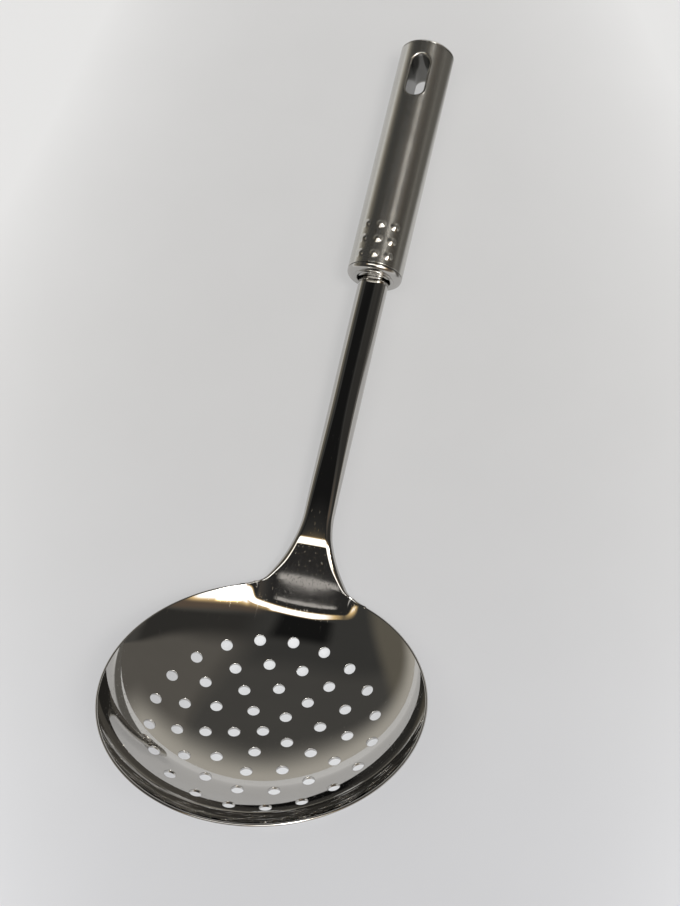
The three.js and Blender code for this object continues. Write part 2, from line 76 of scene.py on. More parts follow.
class SkimmerStampingSizes(bpy.types.PropertyGroup):
    """Sizes of the stamped sheet: bowl, neck and channel shank."""

    sheet: length("Sheet", "Thickness of the steel sheet", 0.001)
    rim_radius: length("Rim radius", "Outer radius of the bowl's rim", 0.055)
    bowl_depth: length("Bowl depth", "Depth of the bowl's mid-surface below its rim", 0.01765)
    bowl_curve_radius: length("Bowl curve radius", "Radius at which the bowl's curve would stand upright", 0.0599)
    bowl_curve_power: FloatProperty(name="Bowl curve power", description="2 is an ellipse, more is flatter", default=2.6)
    hole_diameter: length("Hole diameter", "Diameter of a strainer hole", 0.0041)
    hole_edge: length("Hole edge", "Rounding of the edges of a strainer hole", 0.00012)
    hole_ring_pitch: length("Hole ring pitch", "Distance between rings of holes along the sheet", 0.00965)
    holes_per_ring: IntVectorProperty(name="Holes per ring", description="From the middle out", size=5,
                                      default=(1, 5, 10, 15, 20))
    pad_start: length("Pad start", "Distance from the bowl's axis to the foot of the neck's pad", 0.0473)
    pad_slope: turn("Pad slope", "Slope of the neck's pad against the rim plane", 52.2)
    pad_crease: length("Pad crease", "Softness of the crease at the foot of the pad", 0.0005)
    pad_fade_inner: length("Pad fade start", "Side distance at which the pad starts to fade into the wall", 0.016)
    pad_fade_outer: length("Pad fade end", "Side distance at which the pad has faded into the wall", 0.0222)
    neck_half_angle: turn("Neck half angle", "Half of the rim's angle that the neck takes up", 25)
    neck_spread: length("Neck spread", "Extra half width of the neck at the rim", 0.0086)
    neck_taper_length: length("Neck taper length", "Length over which the neck narrows", 0.025)
    neck_flare_length: length("Neck flare length", "Length of the small flare beside the rim", 0.0026)
    rim_blend_length: length("Rim blend length", "Length over which the neck leaves the rim's curve", 0.007)
    flange_height: length("Flange height", "Height of the neck's turned-down edges", 0.002)
    flange_radius: length("Flange radius", "Bend radius of the neck's turned-down edges", 0.0018)
    flange_first_radius: length("Flange first radius", "Bend radius of the edges right at the rim", 0.0004)
    flange_rise_length: length("Flange rise length", "Length over which the edges come up at the rim", 0.003)
    pad_length: length("Pad length", "Length of the neck's straight pad", 0.013)
    bend_length: length("Bend length", "Length of the tight bend above the pad", 0.003)
    bend_end_slope: turn("Bend end slope", "Slope where the tight bend ends", 39.5)
    sweep_length: length("Sweep length", "Length of the shank's gentle curve", 0.08)
    shank_slope: turn("Shank slope", "Slope of the shank's straight end", 31.5)
    straight_length: length("Straight length", "Length of the shank's straight end up to the collar", 0.0211)
    tang_length: length("Tang length", "Length of the shank inside the handle", 0.022)
    shank_width: length("Shank width", "Outer width of the channel", 0.0112)
    shank_height: length("Shank height", "Height of the channel's mid-surface", 0.0046)
    shank_corner: length("Shank corner", "Bend radius of the channel's corners", 0.0034)
    shank_crown: length("Shank crown", "Height of the crown across the channel's top", 0.0007)
    section_change_length: length("Section change length", "Length over which the neck becomes the channel", 0.06)
    rest_tilt: turn("Rest tilt", "Tilt of the rim plane when the skimmer lies on the table", 32.03814628327011)
    rim_centre: FloatVectorProperty(name="Rim centre", description="Middle of the rim in the row frame",
                                    default=(-0.1079082677, 0, 0.0318855366), subtype="TRANSLATION", size=3)


class SkimmerHandleSizes(bpy.types.PropertyGroup):
    """Sizes of the handle tube and of the pieces that close it."""

    tube_radius: length("Tube radius", "Outer radius of the handle tube", 0.0103)
    tube_wall: length("Tube wall", "Wall of the handle tube", 0.0008)
    tube_length: length("Tube length", "Length of the handle tube", 0.0956)
    tube_slope: turn("Tube slope", "Slope of the tube against the rim plane", 31.1)
    tube_axis_drop: length("Tube axis drop", "Distance of the tube's axis below the shank's sheet", 0.0026)
    tube_edge: length("Tube edge", "Rounding of the tube's cut ends", 0.00018)
    bump_rows: IntProperty(name="Bump rows", description="Rows of grip bumps along the tube", default=3)
    bump_columns: IntProperty(name="Bump columns", description="Columns of grip bumps across the tube", default=3)
    bump_row_pitch: length("Bump row pitch", "Distance between the rows", 0.0061)
    bump_column_angle: turn("Bump column angle", "Angle between the columns", 31)
    bump_from_front: length("Bumps from front", "Distance of the first row from the collar", 0.004)
    bump_radius: length("Bump radius", "Radius of a bump's foot", 0.0021)
    bump_height: length("Bump height", "Height of a bump", 0.0006)
    slot_length: length("Slot length", "Length of the hanging slot", 0.018)
    slot_width: length("Slot width", "Width of the hanging slot", 0.0069)
    slot_from_rear: length("Slot from rear", "Distance of the slot's centre from the tube's rear", 0.0144)
    slot_roll: length("Slot roll", "Radius of the slot's rolled-in edge", 0.0007)
    collar_thickness: length("Collar thickness", "Thickness of the front collar", 0.002)
    collar_rounding: length("Collar rounding", "Rounding of the collar's shoulder", 0.002)
    opening_radius: length("Opening radius", "Radius of the collar's opening", 0.0063)
    lip_width: length("Lip width", "Width of the raised lip round the opening", 0.0014)
    lip_height: length("Lip height", "Height of the raised lip round the opening", 0.0003)
    cap_thickness: length("Cap thickness", "Thickness of the rear cap at its edge", 0.0012)
    cap_chamfer: length("Cap chamfer", "Fall of the rear cap's sloping edge", 0.0008)
    cap_rounding: length("Cap rounding", "Rounding of the rear cap's edge", 0.0005)
    cap_dome: length("Cap dome", "Height of the rear cap's middle over its edge", 0.00022)
    cap_flat_share: share("Cap flat share", "Share of the rear cap that is flat", 0.6)
    seam: length("Seam", "Gap between the tube and the pieces that close it", 0.0003)


class SkimmerFinish(bpy.types.PropertyGroup):
    """Colours and finishes."""

    steel: colour("Steel", "Reflected colour of the polished steel", (0.56, 0.55, 0.53))
    satin: colour("Satin steel", "Reflected colour of the brushed tube", (0.63, 0.62, 0.585))
    cap: colour("Cap steel", "Reflected colour of the rear cap", (0.76, 0.75, 0.72))
    polished_roughness: share("Polished roughness", "Roughness of the polished sheet", 0.022)
    satin_roughness: share("Satin roughness", "Roughness of the brushed tube", 0.22)
    brushing: share("Brushing", "How much the tube's brushing stretches its reflections", 0.9)
    dust: share("Dust", "How many dust specks lie on the steel", 0.06)


class SkimmerStage(bpy.types.PropertyGroup):
    """Floor, light and camera."""

    floor_middle: colour("Floor", "Colour of the floor's middle", (0.553, 0.551, 0.55))
    # The floor's edge colour is painted light: the floor turns lighter towards the picture's corners
    floor_edge: colour("Floor edge", "Colour of the floor towards the picture's corners", (0.76, 0.76, 0.76))
    floor_plain_share: share("Floor plain share", "Share of the floor's tone that shows no shadow", 0.8)
    window_light: FloatProperty(name="Window light", description="Strength of the broad light overhead", default=2.6, min=0)
    core_light: FloatProperty(name="Core light", description="Strength of the broad light's core", default=19, min=0)
    warm_light: colour("Warm light", "Colour of the broad light's warm border", (1.0, 0.7, 0.32))
    dark_room: colour("Dark room", "Colour of the room overhead", (0.062, 0.061, 0.058))
    pale_walls: colour("Pale walls", "Colour of the room just over the table", (0.58, 0.55, 0.49))
    fill_power: FloatProperty(name="Fill power", description="Power of the large soft lamp", default=5, subtype="POWER",
                              unit="POWER", min=0)
    camera_place: FloatVectorProperty(name="Camera", description="Place of the camera in the bowl's frame",
                                      default=(-0.3905, -0.1269, 0.4297), subtype="TRANSLATION", size=3)
    camera_turn: FloatVectorProperty(name="Camera turn", description="Turn of the camera in the bowl's frame", size=3,
                                     default=(0.89734, -0.0056, -1.3138), subtype="EULER")
    lens: FloatProperty(name="Lens", description="Focal length for a 36 mm long side", default=70.58, min=1)


# Shared helpers for surfaces

def smooth(low, high, x):
    t = min(max((x - low) / (high - low), 0.0), 1.0)
    return t * t * (3.0 - 2.0 * t)


def lerp(a, b, t):
    return a + (b - a) * t


def plain(group):
    """The values of a property group as plain numbers, which are quicker to read."""
    names = group.__annotations__
    values = {}
    for name in names:
        value = getattr(group, name)
        values[name] = tuple(value) if hasattr(value, "__len__") else value
    return SimpleNamespace(**values)


def surface_normal(surface, u, v, du, dv):
    along = surface(u + du, v) - surface(u - du, v)
    across = surface(u, v + dv) - surface(u, v - dv)
    return along.cross(across).normalized()


class Skin:
    """Points with their own normals, and the faces between them."""

    def __init__(self):
        self.points = []
        self.normals = []
        self.faces = []

    def add(self, point, normal):
        self.points.append(point)
        self.normals.append(normal)
        return len(self.points) - 1

    def band(self, lines, closed):
        """Quads between neighbouring lines of point numbers."""
        pairs = zip(lines, lines[1:] + lines[:1]) if closed else zip(lines, lines[1:])
        for a, b in pairs:
            for k in range(len(a) - 1):
                self.faces.append((a[k], a[k + 1], b[k + 1], b[k]))

    def make(self, name, matrix, stand=Matrix()):
        """The piece in the row frame. Its own axes are turned by stand, so that its grain can follow them."""
        mesh = bpy.data.meshes.new(name)
        mesh.from_pydata([stand @ p for p in self.points], [], self.faces)
        turning = stand.to_3x3()
        mesh.polygons.foreach_set("use_smooth", [True] * len(mesh.polygons))
        mesh.normals_split_custom_set_from_vertices([(turning @ n).normalized() for n in self.normals])
        mesh.update()
        piece = bpy.data.objects.new(name, mesh)
        piece.matrix_world = matrix @ stand.inverted()
        bpy.context.scene.collection.objects.link(piece)
        return piece


def triangles(points, loops, holes):
    """Delaunay triangles over flat points. The loops stay as edges, and the inside of each hole loop stays open."""
    edges = [(a, b) for loop in loops + holes for a, b in zip(loop, loop[1:] + loop[:1])]
    made = delaunay_2d_cdt([Vector(p) for p in points], edges, [], 0, 1e-7)
    source = [numbers[0] for numbers in made[3]]
    hole_of = {number: i for i, hole in enumerate(holes) for number in hole}
    for face in made[2]:
        numbers = [source[k] for k in face]
        kinds = {hole_of.get(number, -1 - number) for number in numbers}
        if len(kinds) > 1 or min(kinds) < 0:
            yield numbers


def rounded(path, radii, steps=6):
    """A path of corners (along, radius) with a rounding at each inner corner, as (along, radius, normal along,
    normal outwards). The outside is on the left of the path's direction."""
    corners = [Vector(p) for p in path]
    out = []

    def put(point, direction):
        out.append((point.x, point.y, -direction.y, direction.x))

    put(corners[0], (corners[1] - corners[0]).normalized())
    for i in range(1, len(corners) - 1):
        before = (corners[i] - corners[i - 1]).normalized()
        after = (corners[i + 1] - corners[i]).normalized()
        angle = before.angle_signed(after) * -1
        reach = abs(radii[i - 1] * math.tan(angle / 2))
        start = corners[i] - before * reach
        side = Vector((-before.y, before.x)) * math.copysign(radii[i - 1], angle)
        centre = start + side
        for k in range(steps + 1):
            spin = Matrix.Rotation(angle * k / steps, 2)
            put(centre - spin @ side, spin @ before)
    put(corners[-1], (corners[-1] - corners[-2]).normalized())
    return out


def turned(skin, profile, columns):
    """Rings of points round the handle's axis, one for each line of the profile."""
    lines = []
    for k in range(columns):
        angle = 2 * math.pi * k / columns
        out = Vector((0, math.sin(angle), math.cos(angle)))
        along = Vector((1, 0, 0))
        lines.append([skin.add(along * x + out * r, along * nx + out * nr) for x, r, nx, nr in profile])
    skin.band(lines, True)


# The stamped sheet in the bowl's own frame: rim in the plane z = 0, handle towards +X

class Stamping:
    def __init__(self, size):
        self.size = size
        self.half = size.sheet / 2
        self.rim_radius = size.rim_radius - self.half * math.sin(size.pad_slope)
        self.rim_height = -self.half * math.cos(size.pad_slope)
        self.rim_curve = self.curve(self.rim_radius)
        self.stages = [
            (size.pad_length, size.pad_slope),
            (size.bend_length, size.bend_end_slope),
            (size.sweep_length, size.shank_slope),
            (size.straight_length + size.tang_length, size.shank_slope),
        ]
        self.collar_station = size.pad_length + size.bend_length + size.sweep_length + size.straight_length
        self.rim_frame = self.centre_line(0.0)
        self.rim_half_width = self.rim_radius * math.sin(size.neck_half_angle)

    def curve(self, radius):
        size = self.size
        return math.sqrt(1 - (radius / size.bowl_curve_radius) ** size.bowl_curve_power)

    def bowl_height(self, radius):
        rise = (self.curve(radius) - self.rim_curve) / (1 - self.rim_curve)
        return self.rim_height - self.size.bowl_depth * rise

    def sheet_height(self, x, y):
        size = self.size
        wall = self.bowl_height(math.hypot(x, y))
        if x <= 0:
            return wall
        side = min(abs(y), size.pad_fade_outer)
        foot = self.bowl_height(math.hypot(size.pad_start, side))
        pad = foot + math.tan(size.pad_slope) * (x - size.pad_start)
        raised = (wall + pad + math.hypot(wall - pad, size.pad_crease)) / 2
        fade = 1 - smooth(size.pad_fade_inner, size.pad_fade_outer, abs(y))
        return wall + fade * (raised - wall)

    def bowl_point(self, radius, angle):
        x = radius * math.cos(angle)
        y = radius * math.sin(angle)
        return Vector((x, y, self.sheet_height(x, y)))

    def flat_point(self, x, y):
        return Vector((x, y, self.sheet_height(x, y)))

    def centre_line(self, station):
        """Point, direction along and direction up of the neck's centre line."""
        point = self.bowl_point(self.rim_radius, 0.0)
        slope = self.size.pad_slope
        left = station
        for stage_length, end_slope in self.stages:
            run = min(left, stage_length)
            bend = (end_slope - slope) / stage_length
            half = bend * run / 2
            chord = run if half == 0 else run * math.sin(half) / half
            point = point + Vector((chord * math.cos(slope + half), 0, chord * math.sin(slope + half)))
            slope += 2 * half
            left -= run
        return point, Vector((math.cos(slope), 0, math.sin(slope))), Vector((-math.sin(slope), 0, math.cos(slope)))

    def rim_offset(self, part):
        point, along, up = self.rim_frame
        offset = self.bowl_point(self.rim_radius, self.size.neck_half_angle * part) - point
        return offset.dot(along), offset.dot(up), offset.y

    def dish(self, side):
        """Height of the rim over the middle of the pad, at a distance to the side: the neck is dished like the rim."""
        part = math.asin(min(side / self.rim_radius, 1)) / self.size.neck_half_angle
        return self.rim_offset(part)[1]

    def tapered_half_width(self, station):
        size = self.size
        rim_share = 1 - smooth(0, size.rim_blend_length, station)
        edge = station + rim_share * self.rim_offset(1)[0]
        taper = max(1 - edge / size.neck_taper_length, 0)
        return size.shank_width / 2 - self.half + size.neck_spread * taper ** 2

    def section(self, station):
        """Half width, height, corner radius and crown of the neck's section."""
        size = self.size
        flare = max(1 - station / size.neck_flare_length, 0)
        spare = self.rim_half_width - self.tapered_half_width(0.0)
        width = self.tapered_half_width(station) + spare * flare ** 2
        change = smooth(size.pad_length, size.pad_length + size.section_change_length, station)
        rise = smooth(0, size.flange_rise_length, station)
        corner = lerp(lerp(size.flange_first_radius, size.flange_radius, rise), size.shank_corner, change)
        height = lerp(size.flange_height * rise, size.shank_height, change)
        return width, height, corner, size.shank_crown * change

    def half_girth(self, station):
        width, height, corner, _ = self.section(station)
        drop = min(height, corner)
        arc = (math.pi / 2) * math.sqrt((corner ** 2 + drop ** 2) / 2)
        return width - corner, arc, height - drop, drop

    def neck_point(self, station, part):
        point, along, up = self.centre_line(station)
        width, _, corner, crown = self.section(station)
        flat, arc, leg_length, drop = self.half_girth(station)
        run = abs(part) * (flat + arc + leg_length)
        turning = min(max((run - flat) / arc, 0), 1) * (math.pi / 2)
        leg = max(run - flat - arc, 0)
        side = min(run, flat) + corner * math.sin(turning)
        down = drop * (1 - math.cos(turning)) + leg + crown * (side / width) ** 2
        rim_along, _, rim_side = self.rim_offset(abs(part))
        rim_share = 1 - smooth(0, self.size.rim_blend_length, station)
        y = side + rim_share * (rim_side - self.rim_half_width * abs(part)) * (width / self.rim_half_width)
        dish = self.dish(y) * (1 - smooth(0, self.size.pad_length + self.size.section_change_length, station))
        place = point + along * (rim_share * rim_along) + up * (dish - down)
        place.y += math.copysign(y, part)
        return place

    def radius_at_arc(self, arc):
        step = self.size.rim_radius / 400
        radius = done = 0.0
        while done < arc:
            rise = (self.bowl_height(radius + step) - self.bowl_height(radius)) / step
            radius += step / math.hypot(1, rise)
            done += step
        return radius

    def hole_centres(self):
        size = self.size
        for ring, count in enumerate(size.holes_per_ring):
            radius = self.radius_at_arc(ring * size.hole_ring_pitch) if ring else 0.0
            for i in range(count):
                angle = math.pi + 2 * math.pi * i / count
                yield radius * math.cos(angle), radius * math.sin(angle)

    def flat_normal(self, x, y):
        step = self.size.sheet / 50
        return surface_normal(self.flat_point, x, y, step, step)


NECK_COLUMNS = 120
RIM_COLUMNS = 300
HOLE_SIDES = 32
WALL_START_SHARE = 0.81
WALL_ROWS = 26
PAD_ROWS = 42
SWEEP_ROWS = 80
STRAIGHT_ROWS = 18


def row_matrix(size):
    return Matrix.Translation(size.rim_centre) @ Matrix.Rotation(size.rest_tilt, 4, "Y")


def build_stamping(stamping):
    size = stamping.size
    half = stamping.half
    skin = Skin()

    def sheet_vertex(point, normal):
        """Numbers of the points on the two faces of the sheet."""
        return skin.add(point + normal * half, normal), skin.add(point - normal * half, -normal)

    def both(numbers):
        skin.faces.append(tuple(pair[0] for pair in numbers))
        skin.faces.append(tuple(pair[1] for pair in reversed(numbers)))

    def inset(station):
        return 1 - half / sum(stamping.half_girth(max(station, size.flange_rise_length))[:3])

    # Columns round the rim, the neck's own columns first
    parts = [-1 + 2 * j / NECK_COLUMNS for j in range(NECK_COLUMNS + 1)]
    first_inset = 1 - half / (stamping.rim_radius * size.neck_half_angle)
    edge_angle = size.neck_half_angle * first_inset
    angles = [edge_angle * part for part in parts]
    rest = 2 * math.pi - 2 * edge_angle
    angles += [edge_angle + rest * j / RIM_COLUMNS for j in range(1, RIM_COLUMNS)]

    # The bowl's wall, from the ring outside the holes up to the rim
    wall_start = stamping.rim_radius * WALL_START_SHARE
    wall_end = size.rim_radius - half * 1.04
    wall = []
    for i in range(WALL_ROWS + 1):
        radius = lerp(wall_start, wall_end, i / WALL_ROWS)
        step = half / 10
        wall.append([
            (stamping.bowl_point(radius, a), surface_normal(stamping.bowl_point, radius, a, step, step / radius))
            for a in angles
        ])
    wall = [[sheet_vertex(*vertex) for vertex in row] for row in wall]
    for a, b in zip(wall, wall[1:]):
        for j in range(len(angles)):
            k = (j + 1) % len(angles)
            both([a[j], b[j], b[k], a[k]])

    # The perforated middle: flat points, their triangles, then the walls of the holes
    flat = [(wall_start * math.cos(a), wall_start * math.sin(a)) for a in angles]
    pairs = list(wall[0])
    outer = list(range(len(flat)))
    hole_radius = size.hole_diameter / 2
    edge = size.hole_edge
    centres = list(stamping.hole_centres())
    holes = []
    for x, y in centres:
        normal = stamping.flat_normal(x, y)
        middle = stamping.flat_point(x, y)
        u = normal.orthogonal().normalized()
        v = normal.cross(u)
        loop = []
        profiles = []
        for reach in (hole_radius + edge, hole_radius + edge + size.sheet / 2):
            for j in range(HOLE_SIDES):
                angle = -2 * math.pi * j / HOLE_SIDES
                out = u * math.cos(angle) + v * math.sin(angle)
                at = middle + out * reach
                n = stamping.flat_normal(at.x, at.y)
                pair = sheet_vertex(stamping.flat_point(at.x, at.y), n)
                if reach == hole_radius + edge:
                    loop.append(len(flat))
                    top, bottom = (skin.points[number] for number in pair)
                    inner = []
                    outer_side = []
                    for k in (1, 2, 3):
                        bend = math.pi / 6 * k
                        sink = out * (-edge * math.sin(bend))
                        drop = normal * (edge * (1 - math.cos(bend)))
                        inner.append(skin.add(top + sink - drop, n * math.cos(bend) - out * math.sin(bend)))
                        outer_side.append(skin.add(bottom + sink + drop, -n * math.cos(bend) - out * math.sin(bend)))
                    profiles.append([pair[0], *inner, *reversed(outer_side), pair[1]])
                flat.append((at.x, at.y))
                pairs.append(pair)
        skin.band(profiles, True)
        holes.append(loop)
    spacing = size.sheet * 1.15
    clear = hole_radius + edge + size.sheet * 0.95
    for i in range(int(wall_start / spacing) + 1):
        radius = wall_start - spacing * 0.8 - i * spacing
        if radius < 0:
            break
        count = max(int(2 * math.pi * radius / spacing), 1)
        for j in range(count):
            angle = 2 * math.pi * (j + 0.5 * (i % 2)) / count
            x, y = radius * math.cos(angle), radius * math.sin(angle)
            if all((x - cx) ** 2 + (y - cy) ** 2 > clear ** 2 for cx, cy in centres):
                flat.append((x, y))
                pairs.append(sheet_vertex(stamping.flat_point(x, y), stamping.flat_normal(x, y)))
    in_mm = [(x * 1000, y * 1000) for x, y in flat]
    for numbers in triangles(in_mm, [outer], holes):
        both([pairs[number] for number in numbers])

    # Neck, shank and tang
    stations = [size.pad_length * 1.25 * i / PAD_ROWS for i in range(PAD_ROWS + 1)]
    sweep_end = size.pad_length + size.bend_length + size.sweep_length
    stations += [lerp(stations[-1], sweep_end, (i + 1) / SWEEP_ROWS) for i in range(SWEEP_ROWS)]
    straight = size.straight_length + size.tang_length
    stations += [sweep_end + straight * (i + 1) / STRAIGHT_ROWS for i in range(STRAIGHT_ROWS)]
    rows = [wall[-1][:NECK_COLUMNS + 1]]
    for i, station in enumerate(stations):
        reach = lerp(first_inset, inset(station), smooth(0, size.flange_rise_length, station))
        row = []
        for part in parts:
            at = part * reach
            step = half / 10
            share_step = 0.001
            inner = min(max(at, share_step - 1), 1 - share_step)
            n = surface_normal(stamping.neck_point, max(station, step), inner, step, share_step)
            if i == 0:
                angle = size.neck_half_angle * at
                radius = stamping.rim_radius - step
                n = (n + surface_normal(stamping.bowl_point, radius, angle, step, step / radius)).normalized()
            row.append(sheet_vertex(stamping.neck_point(station, at), n))
        rows.append(row)
    for a, b in zip(rows, rows[1:]):
        for j in range(NECK_COLUMNS):
            both([a[j], b[j], b[j + 1], a[j + 1]])

    # Rounded free edge: round the rim, up one side of the neck, over the tang's end and down the other side
    loop = wall[-1][NECK_COLUMNS:] + [wall[-1][0]]
    loop += [row[0] for row in rows[1:]]
    loop += rows[-1][1:]
    loop += [row[-1] for row in reversed(rows[1:-1])]
    middles = [(skin.points[a] + skin.points[b]) / 2 for a, b in loop]
    profiles = []
    for i, (top, bottom) in enumerate(loop):
        normal = skin.normals[top]
        before = (middles[i] - middles[i - 1]).cross(normal).normalized()
        after = (middles[(i + 1) % len(loop)] - middles[i]).cross(normal).normalized()
        out = (before + after).normalized()
        out *= 1 / max(out.dot(before), 0.6)
        line = [top]
        for k in range(1, 8):
            bend = math.pi * k / 8
            line.append(skin.add(
                middles[i] + out * (half * math.sin(bend)) + normal * (half * math.cos(bend)),
                (out.normalized() * math.sin(bend) + normal * math.cos(bend)),
            ))
        profiles.append([*line, bottom])
    skin.band(profiles, True)
    return skin


# The handle tube in its own frame: axis along +X from the collar's seam

class Tube:
    def __init__(self, size):
        self.size = size
        self.radius = size.tube_radius
        self.slot_centre = size.tube_length - size.slot_from_rear

    def bump(self, x, angle):
        size = self.size
        height = 0.0
        for row in range(size.bump_rows):
            for column in range(size.bump_columns):
                place = size.bump_from_front + row * size.bump_row_pitch
                at = size.bump_column_angle * (column - (size.bump_columns - 1) / 2)
                away = math.hypot(x - place, (angle - at) * self.radius)
                if away < size.bump_radius:
                    height += size.bump_height * math.cos(math.pi / 2 * away / size.bump_radius) ** 2
        return height

    def point(self, x, angle):
        radius = self.radius + self.bump(x, angle)
        return Vector((x, radius * math.sin(angle), radius * math.cos(angle)))

    def vertex(self, x, angle):
        step = self.size.tube_wall / 40
        return self.point(x, angle), surface_normal(self.point, x, angle, step, step / self.radius)

    def slot_outline(self, sides):
        half = self.size.slot_width / 2
        straight = self.size.slot_length / 2 - half
        for end in (1, -1):
            for i in range(sides + 1):
                angle = -end * math.pi / 2 + math.pi * i / sides
                direction = Vector((math.cos(angle), math.sin(angle)))
                yield Vector((end * straight, 0)) + direction * half, direction

    def slot_column(self, point, direction, steps):
        """Points and normals up the slot's wall and over its rolled edge to the tube's surface."""
        roll = self.size.slot_roll
        slope = 0.0
        for _ in range(8):
            y = point.y + direction.y * roll * (1 + math.sin(slope))
            slope = math.atan(direction.y * y / math.sqrt(self.radius ** 2 - y ** 2))
        y = point.y + direction.y * roll * (1 + math.sin(slope))
        centre = math.sqrt(self.radius ** 2 - y ** 2) - roll * math.cos(slope)
        column = []
        for i in range(steps + 1):
            bend = (math.pi / 2 + slope) * i / steps
            out = point + direction * (roll * (1 - math.cos(bend)))
            normal = Vector((-direction.x * math.cos(bend), -direction.y * math.cos(bend), math.sin(bend)))
            column.append((Vector((out.x, out.y, centre + roll * math.sin(bend))), normal))
        return column


SLOT_SIDES = 28
ROLL_STEPS = 10
BUMP_ZONE = math.radians(54)
SLOT_ZONE = math.radians(45)


def build_tube(size):
    tube = Tube(size)
    skin = Skin()
    fine = math.radians(1.5)
    coarse = math.radians(3)
    angles = []
    angle = -math.pi / 2
    while angle < 1.5 * math.pi - 1e-6:
        angles.append(angle)
        angle += fine if abs(angle + 1e-9) < BUMP_ZONE and angle + fine < BUMP_ZONE + fine else coarse
    bump_end = size.bump_from_front + size.bump_row_pitch * (size.bump_rows - 1) + size.bump_radius
    start = size.seam + size.tube_edge
    end = size.tube_length - size.tube_edge
    stations = [lerp(start, bump_end, i / 64) for i in range(65)]
    patch_start = tube.slot_centre - size.slot_length / 2 - size.slot_roll * 2
    patch_end = tube.slot_centre + size.slot_length / 2 + size.slot_roll * 1.4
    stations += [lerp(bump_end, patch_start, (i + 1) / 24) for i in range(24)]
    first_patch = len(stations) - 1
    stations += [lerp(patch_start, patch_end, (i + 1) / 26) for i in range(26)]
    last_patch = len(stations) - 1
    stations.append(end)

    grid = [[skin.add(*tube.vertex(x, a)) for a in angles] for x in stations]
    count = len(angles)
    zones = []
    for middle in (0.0, math.pi):
        inside = [j for j, a in enumerate(angles) if abs(a - middle) < SLOT_ZONE]
        zones.append((middle, inside[0], inside[-1]))
    for i in range(len(stations) - 1):
        for j in range(count):
            k = (j + 1) % count
            in_patch = first_patch <= i < last_patch and any(a <= j < b for _, a, b in zones)
            if not in_patch:
                skin.faces.append((grid[i][j], grid[i + 1][j], grid[i + 1][k], grid[i][k]))

    # The rolled slot: one tunnel, and a triangulated patch of the tube's surface round each of its mouths
    columns = []
    for point, direction in reversed(list(tube.slot_outline(SLOT_SIDES))):
        half_column = tube.slot_column(point, direction, ROLL_STEPS)
        shift = Vector((tube.slot_centre, 0, 0))
        upper = [skin.add(p + shift, n) for p, n in reversed(half_column)]
        lower = [skin.add(Vector((p.x, p.y, -p.z)) + shift, Vector((n.x, n.y, -n.z))) for p, n in half_column]
        columns.append(upper + lower)
    skin.band(columns, True)
    for middle, first, last in zones:
        top = middle == 0.0
        mouth = [column[0] if top else column[-1] for column in columns]
        flat = []
        numbers = []

        def place(number, x, a):
            flat.append((x * 1000, a * size.tube_radius * 1000))
            numbers.append(number)

        for number in mouth:
            p = skin.points[number]
            a = math.asin(p.y / size.tube_radius)
            place(number, p.x, a if top else math.pi - a)
        hole = list(range(len(mouth)))
        border = []
        sides = [(i, first) for i in range(first_patch, last_patch)]
        sides += [(last_patch, j) for j in range(first, last)]
        sides += [(i, last) for i in range(last_patch, first_patch, -1)]
        sides += [(first_patch, j) for j in range(last, first, -1)]
        for i, j in sides:
            border.append(len(flat))
            place(grid[i][j], stations[i], angles[j])
        straight = (size.slot_length - size.slot_width) / 2
        end_reach = max(skin.points[number].x for number in mouth) - tube.slot_centre - straight
        side_reach = max(skin.points[number].y for number in mouth)
        for i in range(first_patch + 1, last_patch):
            for j in range(first + 1, last):
                x = stations[i] - tube.slot_centre
                y = math.sin(angles[j] - middle) * size.tube_radius
                nearest = min(max(x, -straight), straight)
                if math.hypot((x - nearest) / end_reach, y / side_reach) > 1.09:
                    place(grid[i][j], stations[i], angles[j])
        for face in triangles(flat, [border], [hole]):
            skin.faces.append(tuple(numbers[k] for k in face))

    # The tube's cut ends, turned in a little way
    inner = size.tube_radius - size.tube_wall
    for near, row, sign in ((size.seam, grid[0], -1), (size.tube_length, grid[-1], 1)):
        lines = []
        for j, a in enumerate(angles):
            out = Vector((0, math.sin(a), math.cos(a)))
            line = [row[j]]
            for k in range(1, 4):
                bend = math.pi / 6 * k
                x = near - sign * size.tube_edge * (1 - math.sin(bend))
                r = size.tube_radius - size.tube_edge * (1 - math.cos(bend))
                line.append(skin.add(Vector((x, 0, 0)) + out * r, Vector((sign * math.sin(bend), 0, 0)) + out * math.cos(bend)))
            line.append(skin.add(Vector((near, 0, 0)) + out * inner, Vector((sign, 0, 0))))
            line.append(skin.add(Vector((near, 0, 0)) + out * inner, -out))
            line.append(skin.add(Vector((near - sign * size.tube_wall * 6, 0, 0)) + out * inner, -out))
            lines.append(line if sign > 0 else line[::-1])
        skin.band(lines, True)
    return skin


def handle_matrix(stamping, size):
    point, _, up = stamping.centre_line(stamping.collar_station)
    along = Vector((math.cos(size.tube_slope), 0, math.sin(size.tube_slope)))
    origin = point - up * size.tube_axis_drop + along * size.collar_thickness
    tilt = Matrix.Rotation(-size.tube_slope, 4, "Y")
    return row_matrix(stamping.size) @ Matrix.Translation(origin) @ tilt


def build_collar(size):
    """Front collar: spigot, rounded shoulder and a raised lip round the opening."""
    skin = Skin()
    face = -size.collar_thickness
    spigot = size.tube_radius - size.tube_wall - size.seam
    deep = size.tube_wall * 5
    lip = size.opening_radius + size.lip_width
    small = size.lip_height / 2
    path = [
        (deep, size.opening_radius),
        (face - size.lip_height, size.opening_radius),
        (face - size.lip_height, lip),
        (face, lip),
        (face, size.tube_radius),
        (0, size.tube_radius),
        (0, spigot),
        (deep, spigot),
    ]
    radii = [small * 2, small, small, size.collar_rounding - small, small, small]
    profile = [(x, r, nx, nr) for x, r, nx, nr in rounded(path, radii)]
    turned(skin, profile, 144)
    return skin


